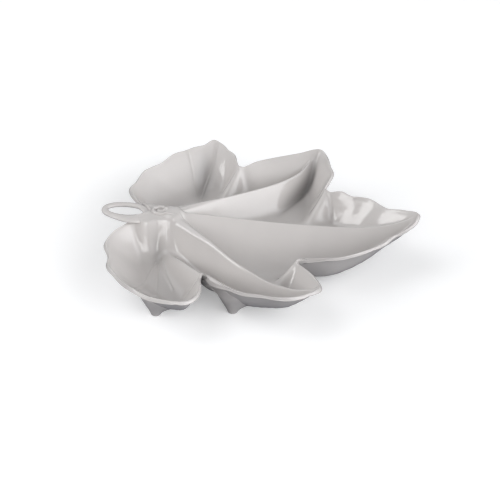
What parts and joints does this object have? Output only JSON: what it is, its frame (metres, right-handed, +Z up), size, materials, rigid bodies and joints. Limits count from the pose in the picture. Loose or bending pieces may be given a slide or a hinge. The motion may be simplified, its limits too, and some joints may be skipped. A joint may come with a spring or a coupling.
{
  "type": "leaf dish",
  "caption": "Divided serving dish shaped like a lobed leaf, with raised veins between its compartments, a looped stem handle and low feet.",
  "frame": {"origin": "middle of the box of the whole dish, on the table that its feet stand on", "axes": "+X along the midrib from the stem to the tip, +Z up, +Y to the back lobes"},
  "size_m": [0.3263, 0.2932, 0.0572],
  "materials": {
    "glazed_body": "glossy pale grey-white glaze",
    "glazed_feet": "glossy glaze, wiped where it stands"
  },
  "bodies": {
    "root": {"leaf_dish": "glazed_body", "stem_handle": "glazed_body", "stem_curl": "glazed_body", "foot_basal_front": "glazed_feet", "foot_basal_back": "glazed_feet", "foot_lateral_front": "glazed_feet", "foot_lateral_back": "glazed_feet", "foot_main": "glazed_feet"}
  },
  "joints": []
}
